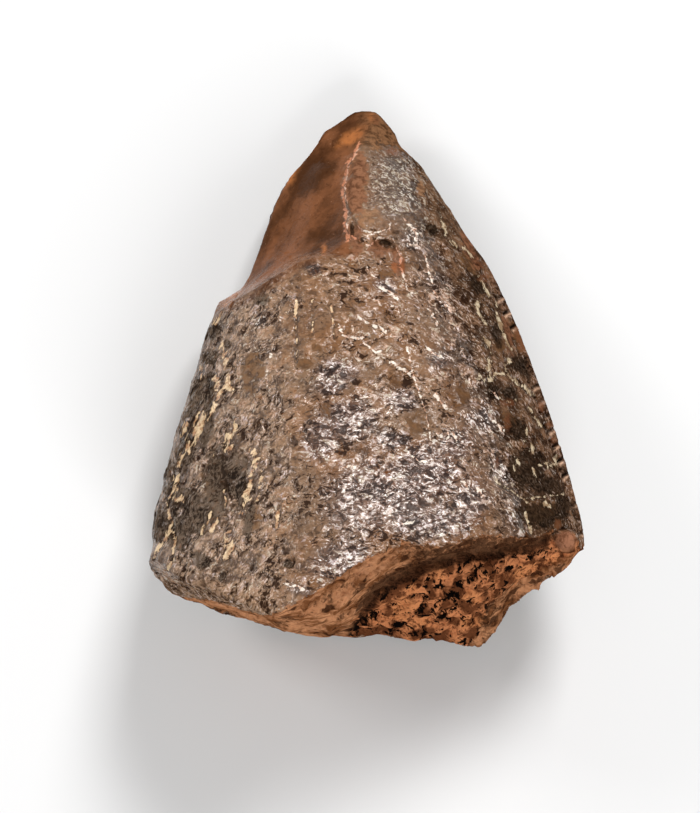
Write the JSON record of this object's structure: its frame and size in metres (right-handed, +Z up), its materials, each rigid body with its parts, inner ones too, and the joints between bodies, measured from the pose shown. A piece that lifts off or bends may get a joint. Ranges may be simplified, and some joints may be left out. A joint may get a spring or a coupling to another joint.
{
  "type": "fossil tyrannosaur tooth",
  "caption": "Tip of a fossil tyrannosaur tooth crown with a saw-toothed rear keel, a flake lost from its tip and a broken, open-grained foot.",
  "frame": {"origin": "middle of the tooth's footprint, on the surface that it lies on", "axes": "+Y along the tooth towards its tip, +X towards the saw-toothed rear keel, +Z up from the surface that it lies on"},
  "size_m": [0.0145, 0.0187, 0.0095],
  "materials": {
    "enamel": "brown fossil enamel, low gloss, with pale and black mineral flecks; rough orange-brown dentine in the break"
  },
  "bodies": {
    "root": {"tooth": "enamel"}
  },
  "joints": []
}
